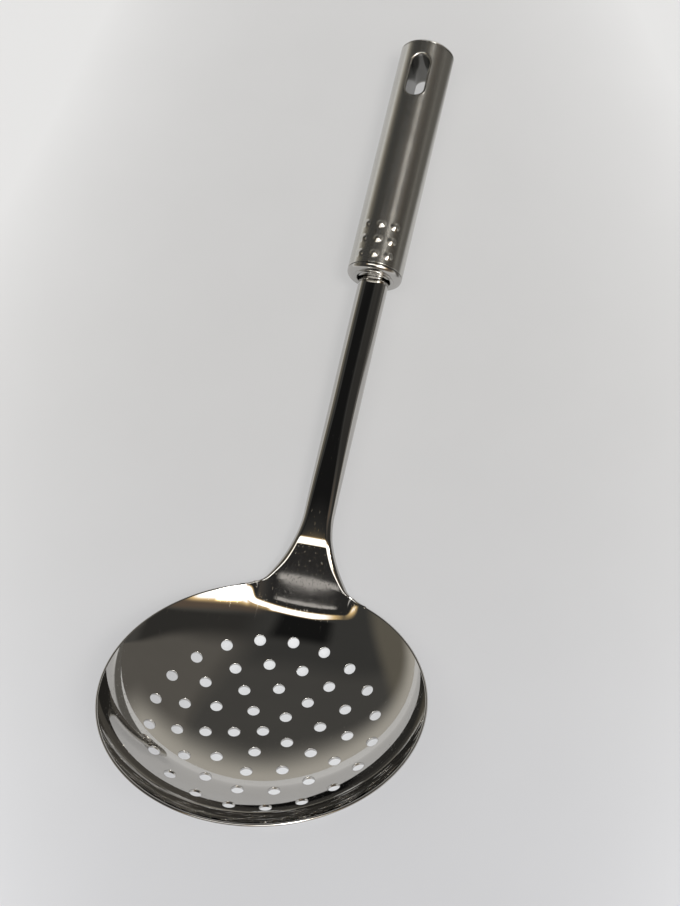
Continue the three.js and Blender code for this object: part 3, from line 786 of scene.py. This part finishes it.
def build_cap(size):
    """Rear cap with a rounded edge and a slightly raised flat middle."""
    skin = Skin()
    start = size.tube_length + size.seam
    edge = start + size.cap_thickness
    flat = (size.tube_radius - size.cap_rounding) * size.cap_flat_share
    small = size.seam / 2
    path = [
        (start, 0),
        (start, size.tube_radius),
        (start + small * 2, size.tube_radius),
        (edge, size.tube_radius - size.cap_chamfer),
        (edge + size.cap_dome, flat),
        (edge + size.cap_dome, 0),
    ]
    profile = rounded(path, [small, small, size.cap_rounding, size.cap_rounding])
    turned(skin, profile, 144)
    return skin


# Node trees

class Nodes:
    """Short calls that add nodes to a tree and link them."""

    def __init__(self, tree):
        self.tree = tree

    def feed(self, socket, value):
        if isinstance(value, bpy.types.NodeSocket):
            self.tree.links.new(value, socket)
        else:
            socket.default_value = value

    def add(self, kind, inputs=None, **settings):
        made = self.tree.nodes.new(kind)
        for name, value in settings.items():
            setattr(made, name, value)
        for name, value in (inputs or {}).items():
            self.feed(made.inputs[name], value)
        return made

    def math(self, operation, *values):
        made = self.add("ShaderNodeMath", operation=operation)
        for socket, value in zip(made.inputs, values):
            self.feed(socket, value)
        return made.outputs[0]

    def fade(self, value, low, high, start=0.0, end=1.0):
        """A smooth step of value, from start at low to end at high."""
        inputs = {"Value": value, "From Min": low, "From Max": high, "To Min": start, "To Max": end}
        return self.add("ShaderNodeMapRange", inputs, interpolation_type="SMOOTHSTEP").outputs[0]

    def mix(self, factor, a, b):
        made = self.add("ShaderNodeMix", data_type="RGBA")
        self.feed(made.inputs["Factor"], factor)
        for socket, value in zip(made.inputs[6:8], (a, b)):
            self.feed(socket, (*value, 1) if isinstance(value, tuple) else value)
        return made.outputs[2]

    def place(self):
        return self.add("ShaderNodeTexCoord").outputs["Object"]

    def stretched(self, vector, scale, turn=(0, 0, 0)):
        inputs = {"Vector": vector, "Rotation": tuple(math.radians(angle) for angle in turn), "Scale": scale}
        return self.add("ShaderNodeMapping", inputs).outputs[0]

    def noise(self, vector, scale, detail=2.0, rough=0.5):
        inputs = {"Vector": vector, "Scale": scale, "Detail": detail, "Roughness": rough}
        return self.add("ShaderNodeTexNoise", inputs).outputs["Fac"]

    def bump(self, height, distance, strength=1.0, normal=None):
        inputs = {"Height": height, "Distance": distance, "Strength": strength}
        if normal:
            inputs["Normal"] = normal
        return self.add("ShaderNodeBump", inputs).outputs[0]

    def effect(self, group, **values):
        made = self.add("ShaderNodeGroup", node_tree=group)
        for name, value in values.items():
            self.feed(made.inputs[name.replace("_", " ").capitalize()], value)
        return made.outputs


def effect_group(name, inputs, outputs, fill):
    """A node group with float sockets, which fill(nodes, inputs) builds. It returns the outputs in order."""
    if name in bpy.data.node_groups:
        return bpy.data.node_groups[name]
    group = bpy.data.node_groups.new(name, "ShaderNodeTree")
    for title, default in inputs.items():
        group.interface.new_socket(title, in_out="INPUT", socket_type="NodeSocketFloat").default_value = default
    for title in outputs:
        group.interface.new_socket(title, in_out="OUTPUT", socket_type="NodeSocketFloat")
    nodes = Nodes(group)
    made = fill(nodes, nodes.add("NodeGroupInput").outputs)
    end = nodes.add("NodeGroupOutput")
    for socket, value in zip(end.inputs, made):
        nodes.feed(socket, value)
    return group


# Effects that several finishes share

SCRATCH_TURNS = ((12, 8, 35), (-20, 15, 110), (5, -12, 160))


def fine_scratches():
    """Short hairline scratches in a few directions."""
    def fill(nodes, inputs):
        place = nodes.place()
        total = 0.0
        for turn in SCRATCH_TURNS:
            lines = nodes.noise(nodes.stretched(place, (0.05, 1.0, 1.0), turn), inputs["Density"], 1.0)
            total = nodes.math("ADD", total, nodes.fade(lines, inputs["Sparse"], 0.8))
        return total, nodes.math("MULTIPLY", total, -1.0)
    return effect_group("fine scratches", {"Density": 2500.0, "Sparse": 0.7}, ("Mask", "Height"), fill)


def smudges():
    """Soft blotches where the steel was wiped and handled."""
    def fill(nodes, inputs):
        place = nodes.place()
        broad = nodes.noise(place, inputs["Scale"], 3.0)
        fine = nodes.noise(nodes.stretched(place, (1.0, 0.3, 1.0), (0, 0, 25)), nodes.math("MULTIPLY", inputs["Scale"], 6.0), 2.0)
        mixed = nodes.math("ADD", nodes.math("MULTIPLY", broad, 0.7), nodes.math("MULTIPLY", fine, 0.3))
        return (nodes.fade(mixed, 0.36, 0.66),)
    return effect_group("smudges", {"Scale": 45.0}, ("Value",), fill)


def dust_specks():
    """Scattered specks of dust: a few cells of a cell pattern hold one speck each."""
    def fill(nodes, inputs):
        place = nodes.place()
        cells = nodes.add("ShaderNodeTexVoronoi", {"Vector": place, "Scale": inputs["Scale"]})
        chosen = nodes.math("LESS_THAN", cells.outputs["Color"], inputs["Amount"])
        ragged = nodes.math("ADD", cells.outputs["Distance"], nodes.math("MULTIPLY", nodes.noise(place, 6000.0), 0.08))
        speck = nodes.fade(ragged, 0.13, 0.09)
        return (nodes.math("MULTIPLY", chosen, speck),)
    return effect_group("dust specks", {"Scale": 260.0, "Amount": 0.1}, ("Mask",), fill)


def ring_brushing():
    """Fine lines round the object's own z axis, as a brushing belt leaves on a turning tube."""
    def fill(nodes, inputs):
        place = nodes.place()
        fine = nodes.noise(nodes.stretched(place, (0.012, 0.012, 1.0)), inputs["Density"], 3.0, 0.6)
        broad = nodes.noise(nodes.stretched(place, (0.05, 0.05, 1.0)), nodes.math("MULTIPLY", inputs["Density"], 0.12), 2.0)
        return fine, nodes.math("ADD", nodes.math("MULTIPLY", fine, 0.6), nodes.math("MULTIPLY", broad, 0.4))
    return effect_group("ring brushing", {"Density": 9000.0}, ("Height", "Value"), fill)


# Finishes of the pieces

def metal(name, tint, roughness):
    """A metal material, its nodes and its shader, with its plain values set."""
    material = bpy.data.materials.new(name)
    material.use_nodes = True
    shader = material.node_tree.nodes["Principled BSDF"]
    shader.inputs["Base Color"].default_value = (*tint, 1)
    shader.inputs["Metallic"].default_value = 1
    shader.inputs["Roughness"].default_value = roughness
    return material, Nodes(material.node_tree), shader


def steel_surface(name, tint, roughness, dust, wave_depth=0.0, brush_depth=0.0, wiping=0.3, dust_scale=260.0,
                  scratch_depth=0.000003, painted_shade_radius=0.0):
    """Steel with smudges, hairline scratches, dust and, where it has depth, polishing waves or brushing. Given a radius
    for painted shade, the steel nearer to its own z axis than that radius is painted darker, as shade inside the tube.
    """
    material, nodes, shader = metal(name, tint, roughness)
    place = nodes.place()
    wiped = nodes.effect(smudges(), scale=45.0)["Value"]
    scratches = nodes.effect(fine_scratches())
    specks = nodes.effect(dust_specks(), amount=dust, scale=dust_scale)["Mask"]
    worn = tuple(value * 0.93 for value in tint)
    base = nodes.mix(nodes.math("MULTIPLY", wiped, 0.6), tint, worn)
    rough = nodes.math("ADD", nodes.math("MULTIPLY", wiped, roughness * wiping), roughness * (1 - wiping / 2))
    normal = nodes.bump(scratches["Height"], scratch_depth)
    if wave_depth:
        normal = nodes.bump(nodes.noise(place, 130.0, 2.0), wave_depth, 1.0, normal)
    if brush_depth:
        brushed = nodes.effect(ring_brushing())
        normal = nodes.bump(brushed["Height"], brush_depth, 1.0, normal)
        lines = nodes.math("SUBTRACT", brushed["Value"], 0.5)
        rough = nodes.math("ADD", rough, nodes.math("MULTIPLY", lines, roughness * 0.25))
        base = nodes.mix(nodes.math("MULTIPLY", brushed["Value"], 0.3), base, tuple(value * 0.85 for value in tint))
    # Painted shade: darker inside the given radius, where the slot's tunnel and the tube's inside lie in shade
    if painted_shade_radius:
        flat = nodes.add("ShaderNodeVectorMath", {0: place, 1: (1.0, 1.0, 0.0)}, operation="MULTIPLY").outputs[0]
        out = nodes.add("ShaderNodeVectorMath", {0: flat}, operation="LENGTH").outputs["Value"]
        base = nodes.mix(nodes.fade(out, painted_shade_radius, painted_shade_radius * 0.85), base, tuple(value * 0.3 for value in tint))
    rough = nodes.math("ADD", rough, nodes.math("MULTIPLY", scratches["Mask"], scratch_depth * 40000))
    nodes.feed(shader.inputs["Base Color"], nodes.mix(specks, base, (0.62, 0.61, 0.58)))
    nodes.feed(shader.inputs["Roughness"], nodes.math("ADD", rough, nodes.math("MULTIPLY", specks, 0.6)))
    nodes.feed(shader.inputs["Metallic"], nodes.math("SUBTRACT", 1.0, specks))
    nodes.feed(shader.inputs["Normal"], normal)
    return material, shader


def brushed_steel(name, tint, roughness, brushing, dust, painted_shade_radius=0.0):
    """Steel brushed round the piece's own z axis, with painted shade: darker nearer to the axis than the given radius,
    inside the tube.
    """
    material, shader = steel_surface(name, tint, roughness, dust, brush_depth=0.0000012, wiping=0.1,
                                     scratch_depth=0.0000004, painted_shade_radius=painted_shade_radius)
    shader.inputs["Anisotropic"].default_value = brushing
    shader.inputs["Anisotropic Rotation"].default_value = 0.25
    return material


# Stage

def floor_material(stage):
    """Pale floor with painted light: a little lighter towards the picture's corners, a little cooler near the bowl's
    end, and a paler painted disc under the bowl.
    """
    material = bpy.data.materials.new("pale floor")
    material.use_nodes = True
    nodes = Nodes(material.node_tree)
    shader = material.node_tree.nodes["Principled BSDF"]
    split = nodes.add("ShaderNodeSeparateXYZ", {"Vector": nodes.stretched(nodes.place(), (1, 1, 1), (0, 0, -10.5))})
    along = nodes.math("ADD", split.outputs["X"], 0.005)
    side = split.outputs["Y"]
    across = nodes.math("POWER", nodes.math("ABSOLUTE", nodes.math("DIVIDE", side, 0.12)), 3.0)
    down = nodes.math("POWER", nodes.math("ABSOLUTE", nodes.math("DIVIDE", along, 0.17)), 2.0)
    both = nodes.math("MULTIPLY", nodes.math("MULTIPLY", across, down), 0.65)
    edge = nodes.math("ADD", nodes.math("ADD", both, nodes.math("MULTIPLY", across, 0.33)), nodes.math("MULTIPLY", down, 0.12))
    uneven = nodes.math("MULTIPLY", nodes.noise(nodes.place(), 30.0, 3.0), 0.12)
    edge = nodes.math("MINIMUM", nodes.math("ADD", edge, uneven), 1.1)
    # Painted light: the tone turns lighter, towards the edge colour, away from the floor's middle
    tone = nodes.mix(edge, tuple(stage.floor_middle), tuple(stage.floor_edge))
    away = nodes.add("ShaderNodeVectorMath", {0: nodes.place()}, operation="LENGTH").outputs["Value"]
    tone = nodes.mix(nodes.fade(away, 0.25, 0.42), tone, tuple(stage.floor_edge))
    cool = nodes.math("MULTIPLY", nodes.fade(along, 0.05, -0.2), nodes.fade(away, 0.42, 0.25))
    tone = nodes.mix(nodes.math("MULTIPLY", cool, 0.35), tone, (0.56, 0.575, 0.63))
    # Painted light: a paler disc under the bowl, so that the floor seen through its holes is not darkened by the bowl's
    # shadow
    painted_light_distance = nodes.add("ShaderNodeVectorMath", {0: nodes.place(), 1: (-0.105, 0.0, 0.0)}, operation="DISTANCE").outputs["Value"]
    tone = nodes.mix(nodes.fade(painted_light_distance, 0.046, 0.024), tone, (0.78, 0.79, 0.805))
    shader.inputs["Roughness"].default_value = 0.85
    path = nodes.add("ShaderNodeLightPath").outputs
    seen = nodes.math("MAXIMUM", nodes.math("MAXIMUM", path["Is Camera Ray"], path["Is Glossy Ray"]), path["Is Transmission Ray"])
    plain_share = nodes.math("MULTIPLY", seen, stage.floor_plain_share)
    # Painted shade seen only in the steel: for glossy rays the floor beside the tube is darker, so that the steel
    # mirrors it darker, as if the pale sheet ended there
    mirrored_shade = nodes.math("MULTIPLY", nodes.fade(side, -0.035, -0.05), nodes.fade(along, 0.02, 0.05))
    beyond = nodes.math("ADD", along, nodes.math("MULTIPLY", side, 0.55))
    mirrored_shade = nodes.math("MULTIPLY", mirrored_shade, nodes.fade(beyond, 0.19, 0.16))
    mirrored_shade = nodes.math("MULTIPLY", mirrored_shade, path["Is Glossy Ray"])
    tone = nodes.mix(mirrored_shade, tone, (0.12, 0.115, 0.105))
    nodes.feed(shader.inputs["Base Color"], nodes.mix(plain_share, tone, (0.0, 0.0, 0.0)))
    nodes.feed(shader.inputs["Emission Color"], tone)
    nodes.feed(shader.inputs["Emission Strength"], plain_share)
    return material


def room_world(stage):
    """Room light seen by the steel. Its plan is drawn on a ceiling one unit up: u towards the tube, v to the left."""
    world = bpy.data.worlds.new("room")
    world.use_nodes = True
    nodes = Nodes(world.node_tree)
    split = nodes.add("ShaderNodeSeparateXYZ", {"Vector": nodes.add("ShaderNodeTexCoord").outputs["Generated"]})
    x, y, z = split.outputs[0:3]
    up = nodes.math("MAXIMUM", z, 0.02)
    u = nodes.math("DIVIDE", x, up)
    v = nodes.math("DIVIDE", y, up)

    def region(left, right, low, high, soft_left, soft_right, soft_low, soft_high):
        """Share of a soft-edged patch of the plan, from the places of its sides and the widths of their fades."""
        parts = (nodes.fade(u, left - soft_left, left), nodes.fade(u, right, nodes.math("ADD", right, soft_right), 1.0, 0.0),
                 nodes.fade(v, low - soft_low, low), nodes.fade(v, high, high + soft_high, 1.0, 0.0))
        return nodes.math("MULTIPLY", nodes.math("MULTIPLY", *parts[:2]), nodes.math("MULTIPLY", *parts[2:]))

    # Room: dark overhead, brownish on the right, beige far to the left, and pale just over the table
    room = nodes.mix(nodes.fade(y, -0.1, -0.55), tuple(stage.dark_room), (0.1, 0.095, 0.085))
    behind_tube = nodes.math("MULTIPLY", nodes.fade(u, 0.14, 0.26), nodes.fade(v, 0.0, -0.25))
    behind_tube = nodes.math("MULTIPLY", behind_tube, nodes.fade(z, 0.12, 0.3))
    room = nodes.mix(nodes.fade(u, 0.8, 1.4), room, (0.09, 0.087, 0.081))
    room = nodes.mix(behind_tube, room, (0.047, 0.045, 0.042))
    far_wall = nodes.math("ADD", v, nodes.math("MULTIPLY", u, 1.9))
    far_wall = nodes.math("MULTIPLY", nodes.fade(far_wall, 0.0, 0.7), nodes.fade(u, 0.42, 0.9))
    far_wall = nodes.math("MULTIPLY", far_wall, nodes.fade(v, 0.1, -0.3))
    room = nodes.mix(far_wall, room, (0.15, 0.14, 0.125))
    room = nodes.mix(nodes.fade(y, 0.74, 0.86), room, (0.17, 0.155, 0.125))
    black = region(0.1, 0.45, 0.1, 0.45, 0.12, 0.2, 0.12, 0.15)
    room = nodes.mix(black, room, (0.013, 0.013, 0.013))
    room = nodes.mix(region(-0.7, -0.46, 0.0, 0.6, 0.1, 0.04, 0.1, 0.3), room, (0.036, 0.035, 0.034))
    halo = nodes.math("MULTIPLY", nodes.fade(u, 0.2, 0.06), nodes.fade(v, -0.05, -0.25))
    room = nodes.mix(halo, room, (0.16, 0.12, 0.09))
    slant = nodes.math("ADD", u, nodes.math("MULTIPLY", v, 0.027))
    strip = nodes.math("MULTIPLY", nodes.fade(slant, -0.4899, -0.4891), nodes.fade(slant, -0.4822, -0.4832))
    strip = nodes.math("MULTIPLY", strip, nodes.math("MULTIPLY", nodes.fade(v, 0.0, 0.06), nodes.fade(v, 0.55, 0.48)))
    room = nodes.mix(strip, room, (0.66, 0.63, 0.6))
    beside = nodes.math("MULTIPLY", nodes.fade(y, -0.2, -0.6), nodes.fade(x, 0.2, 0.35))
    pale = nodes.math("MULTIPLY", nodes.fade(z, 0.27, 0.02), nodes.math("SUBTRACT", 1.0, beside))
    room = nodes.mix(pale, room, tuple(stage.pale_walls))

    # Broad light with a warm border and a bright core
    soft_right = nodes.fade(v, -0.12, 0.06, 0.2, 0.11)
    right = nodes.math("SUBTRACT", nodes.math("MULTIPLY", v, 0.08), nodes.fade(v, 0.28, 0.6, 0.09, 0.28))
    wide = region(-0.4, right, -0.95, 0.33, 0.055, soft_right, 0.8, 0.42)
    behind = region(-1.0, -0.3, -0.8, -0.24, 0.1, 0.1, 0.75, 0.08)
    notch = region(-0.1, 0.2, -0.2, -0.08, 0.08, 0.1, 0.06, 0.06)
    bright = nodes.math("MULTIPLY", nodes.math("MAXIMUM", wide, behind), nodes.math("SUBTRACT", 1.0, nodes.math("MULTIPLY", notch, 0.6)))
    bright = nodes.math("MULTIPLY", bright, nodes.fade(z, 0.02, 0.3))
    glow = nodes.mix(nodes.fade(bright, 0.5, 0.95), tuple(stage.warm_light), (1.0, 0.985, 0.96))
    core = region(-0.4, -0.1, -0.62, -0.42, 0.1, 0.1, 0.1, 0.1)
    power = nodes.math("ADD", stage.window_light, nodes.math("MULTIPLY", core, stage.core_light))
    power = nodes.add("ShaderNodeCombineXYZ", {"X": power, "Y": power, "Z": power}).outputs[0]
    glow = nodes.add("ShaderNodeVectorMath", {0: glow, 1: power}, operation="MULTIPLY").outputs[0]
    background = world.node_tree.nodes["Background"]
    nodes.feed(background.inputs["Color"], nodes.mix(nodes.math("POWER", bright, 1.5), room, glow))
    background.inputs["Strength"].default_value = 1
    return world


# Operators

def settle(piece, material, slot, *nodes):
    piece.data.materials.append(material)
    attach(piece, "root")
    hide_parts(*nodes)


ALONG_TO_UP = Matrix.Rotation(-math.pi / 2, 4, "Y")


def handle_place(scene):
    """Sizes of the handle and its frame."""
    size = plain(scene.skimmer_handle)
    return size, handle_matrix(Stamping(plain(scene.skimmer_stamping)), size)


class SKIMMER_OT_stamping(bpy.types.Operator):
    """Build the stamped bowl, neck and shank"""

    bl_idname = "skimmer.stamping"
    bl_label = "Bowl and shank"

    def execute(self, context):
        size = plain(context.scene.skimmer_stamping)
        finish = plain(context.scene.skimmer_finish)
        piece = build_stamping(Stamping(size)).make("polished_bowl_and_shank", row_matrix(size), row_matrix(size))
        material, _ = steel_surface("polished steel", finish.steel, finish.polished_roughness, finish.dust,
                                    wave_depth=0.000002)
        settle(piece, material, "polished_steel", "bowl_and_shank")
        return {"FINISHED"}


class SKIMMER_OT_tube(bpy.types.Operator):
    """Build the handle tube with its grip bumps and hanging slot"""

    bl_idname = "skimmer.tube"
    bl_label = "Handle tube"

    def execute(self, context):
        size, matrix = handle_place(context.scene)
        finish = plain(context.scene.skimmer_finish)
        piece = build_tube(size).make("brushed_tube", matrix, ALONG_TO_UP)
        # Inside this radius, at the slot's tunnel and the tube's turned-in ends, the steel gets painted shade
        inside = size.tube_radius - size.slot_roll * 0.7
        material = brushed_steel("brushed steel", finish.satin, finish.satin_roughness, finish.brushing, finish.dust, inside)
        settle(piece, material, "satin_steel", "handle_tube")
        return {"FINISHED"}


class SKIMMER_OT_collar(bpy.types.Operator):
    """Build the collar that closes the tube's front"""

    bl_idname = "skimmer.collar"
    bl_label = "Front collar"

    def execute(self, context):
        size, matrix = handle_place(context.scene)
        finish = plain(context.scene.skimmer_finish)
        piece = build_collar(size).make("polished_collar", matrix, ALONG_TO_UP)
        material, _ = steel_surface("collar steel", finish.steel, 0.13, finish.dust, brush_depth=0.000002)
        settle(piece, material, "collar_steel", "front_collar")
        return {"FINISHED"}


class SKIMMER_OT_cap(bpy.types.Operator):
    """Build the cap that closes the tube's rear"""

    bl_idname = "skimmer.cap"
    bl_label = "Rear cap"

    def execute(self, context):
        size, matrix = handle_place(context.scene)
        finish = plain(context.scene.skimmer_finish)
        piece = build_cap(size).make("satin_cap", matrix, ALONG_TO_UP)
        material, _ = steel_surface("cap steel", finish.cap, 0.16, finish.dust, brush_depth=0.000004)
        settle(piece, material, "cap_steel", "rear_cap")
        return {"FINISHED"}


class SKIMMER_OT_plug(bpy.types.Operator):
    """Give the plug inside the tube its finish"""

    bl_idname = "skimmer.plug"
    bl_label = "Tang plug"

    def execute(self, context):
        finish = plain(context.scene.skimmer_finish)
        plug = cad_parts["tang_plug"]
        material, _ = steel_surface("plug steel", finish.steel, 0.24, finish.dust)
        plug.data.materials.clear()
        plug.data.materials.append(material)
        return {"FINISHED"}


class SKIMMER_OT_stage(bpy.types.Operator):
    """Lay the floor, place the lamps and set up the camera"""

    bl_idname = "skimmer.stage"
    bl_label = "Stage"

    def execute(self, context):
        scene = context.scene
        stage = plain(scene.skimmer_stage)
        size = plain(scene.skimmer_stamping)
        scene.view_settings.view_transform = "Standard"
        mesh = bpy.data.meshes.new("floor")
        reach = 3
        mesh.from_pydata([(-reach, -reach, 0), (reach, -reach, 0), (reach, reach, 0), (-reach, reach, 0)], [], [(0, 1, 2, 3)])
        mesh.materials.append(floor_material(stage))
        floor = bpy.data.objects.new("floor", mesh)
        scene.collection.objects.link(floor)
        scene.world = room_world(stage)

        lamp_data = bpy.data.lights.new("soft overhead lamp", "AREA")
        lamp_data.shape = "DISK"
        lamp_data.size = 1.6
        lamp_data.energy = stage.fill_power
        lamp = bpy.data.objects.new("soft overhead lamp", lamp_data)
        lamp.location = (-0.1, -0.1, 1.1)
        lamp.visible_glossy = False
        scene.collection.objects.link(lamp)

        data = bpy.data.cameras.new("camera")
        data.lens = stage.lens
        camera = bpy.data.objects.new("camera", data)
        scene.collection.objects.link(camera)
        scene.camera = camera
        tilt = row_matrix(size)
        turning = tilt.to_3x3() @ Euler(stage.camera_turn).to_matrix()
        camera.matrix_world = Matrix.Translation(tilt @ Vector(stage.camera_place)) @ turning.to_4x4()
        return {"FINISHED"}


class SKIMMER_PT_panel(bpy.types.Panel):
    """Sizes, finishes and builders of the skimmer"""

    bl_idname = "SKIMMER_PT_panel"
    bl_label = "Perforated skimmer"
    bl_space_type = "VIEW_3D"
    bl_region_type = "UI"
    bl_category = "Skimmer"

    def draw(self, context):
        for group in (context.scene.skimmer_stamping, context.scene.skimmer_handle,
                      context.scene.skimmer_finish, context.scene.skimmer_stage):
            box = self.layout.box()
            for name in group.__annotations__:
                box.prop(group, name)
        for operator in OPERATORS:
            self.layout.operator(operator.bl_idname)


GROUPS = {
    "skimmer_stamping": SkimmerStampingSizes,
    "skimmer_handle": SkimmerHandleSizes,
    "skimmer_finish": SkimmerFinish,
    "skimmer_stage": SkimmerStage,
}
OPERATORS = (SKIMMER_OT_stage, SKIMMER_OT_stamping, SKIMMER_OT_tube, SKIMMER_OT_collar, SKIMMER_OT_cap,
             SKIMMER_OT_plug)


def register():
    for group in GROUPS.values():
        bpy.utils.register_class(group)
    for name, group in GROUPS.items():
        setattr(bpy.types.Scene, name, PointerProperty(type=group))
    for operator in OPERATORS:
        bpy.utils.register_class(operator)
    bpy.utils.register_class(SKIMMER_PT_panel)


def unregister():
    bpy.utils.unregister_class(SKIMMER_PT_panel)
    for operator in reversed(OPERATORS):
        bpy.utils.unregister_class(operator)
    for name, group in reversed(GROUPS.items()):
        delattr(bpy.types.Scene, name)
        bpy.utils.unregister_class(group)


def main():
    register()
    bpy.ops.skimmer.stage()
    bpy.ops.skimmer.stamping()
    bpy.ops.skimmer.tube()
    bpy.ops.skimmer.collar()
    bpy.ops.skimmer.cap()
    bpy.ops.skimmer.plug()
    bpy.context.view_layer.update()


if __name__ == "__main__":
    main()
